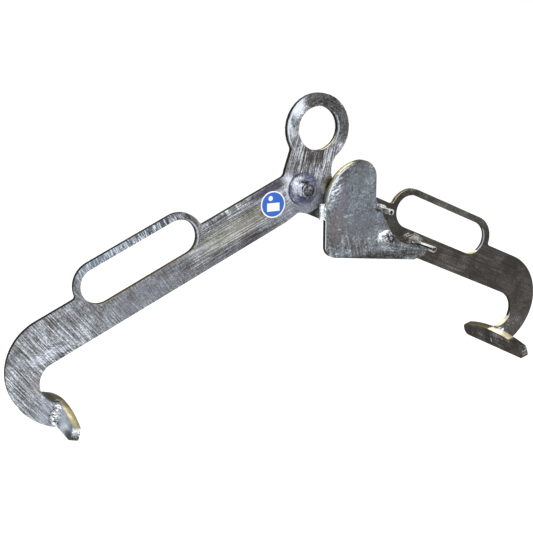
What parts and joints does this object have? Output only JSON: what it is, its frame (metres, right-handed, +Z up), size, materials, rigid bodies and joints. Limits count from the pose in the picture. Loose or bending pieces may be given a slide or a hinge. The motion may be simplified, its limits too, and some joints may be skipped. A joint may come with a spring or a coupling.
{
  "type": "drum tongs",
  "caption": "Scissor lifting tongs: flat plate arms crossing on a bolt, eye on top, looped hand holes, hooked ends with crosswise claw plates for a drum's rims.",
  "frame": {"origin": "on the floor straight below the pivot, halfway along the claws", "axes": "+Z up, +X along the drum towards the rear arm's claw, +Y from the eye's arm at the front to the other arm at the rear"},
  "size_m": [1.1416, 0.196, 0.5566],
  "materials": {
    "front_arm_zinc": "hot-dip galvanised, bright, streaky",
    "rear_arm_zinc": "hot-dip galvanised, dull brown-grey",
    "claw_zinc": "hot-dip galvanised",
    "guard_zinc": "hot-dip galvanised, mottled",
    "weld_zinc": "galvanised weld",
    "pin_zinc": "galvanised spring steel",
    "washer_zinc": "zinc plated",
    "fastener_zinc": "zinc plated",
    "nut_ring_plastic": "matte"
  },
  "bodies": {
    "lifting_arm": {"left_arm": "front_arm_zinc", "left_claw": "claw_zinc", "pivot_bolt": "fastener_zinc", "pivot_sleeve": "fastener_zinc", "front_washer": "washer_zinc", "rear_washer": "washer_zinc", "lock_nut": "fastener_zinc", "nut_ring": "nut_ring_plastic"},
    "swing_arm": {"right_arm": "rear_arm_zinc", "right_claw": "claw_zinc", "guard_plate": "guard_zinc", "stop_block": "weld_zinc", "guard_spacer": "weld_zinc", "upper_spring_pin": "pin_zinc", "lower_spring_pin": "pin_zinc"}
  },
  "joints": [
    {"name": "arm_pivot", "type": "hinge", "parent": "lifting_arm", "child": "swing_arm", "pos_m": [0, -0.006, 0.38137], "axis": [0, 1, 0], "range_deg": [0, 65]}
  ]
}
